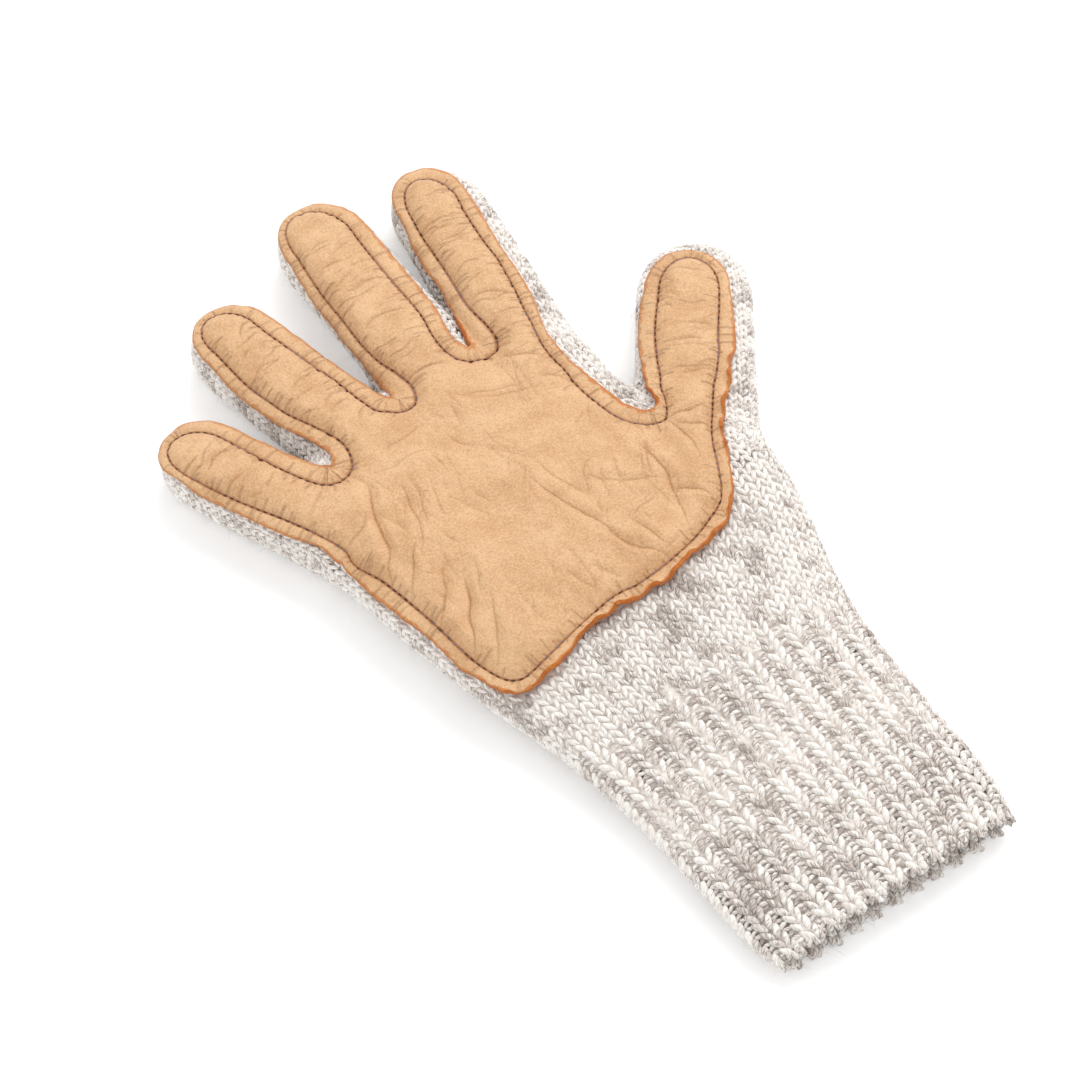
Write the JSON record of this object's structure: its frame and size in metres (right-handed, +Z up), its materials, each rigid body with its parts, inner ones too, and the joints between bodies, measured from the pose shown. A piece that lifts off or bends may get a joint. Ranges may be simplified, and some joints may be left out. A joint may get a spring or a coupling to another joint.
{
  "type": "leather palm wool glove",
  "caption": "Right-hand knitted wool glove with a ribbed cuff and a stitched leather palm, lying palm up.",
  "frame": {"origin": "on the surface the glove lies on, under the middle of its box", "axes": "+Y from the cuff's hem towards the fingertips, +X towards the thumb, +Z up out of the palm"},
  "size_m": [0.1736, 0.2706, 0.0237],
  "materials": {
    "wool_knit": "heathered bulky wool yarn, cream with grey-brown flecks, matt and slightly hairy",
    "palm_leather": "soft tan deerskin, fine grain, satin, with raw burnt-orange edges"
  },
  "bodies": {
    "root": {"knit_hand": "wool_knit", "knit_little": "wool_knit", "knit_ring": "wool_knit", "knit_middle": "wool_knit", "knit_index": "wool_knit", "knit_thumb": "wool_knit", "leather_palm": "palm_leather"}
  },
  "joints": []
}
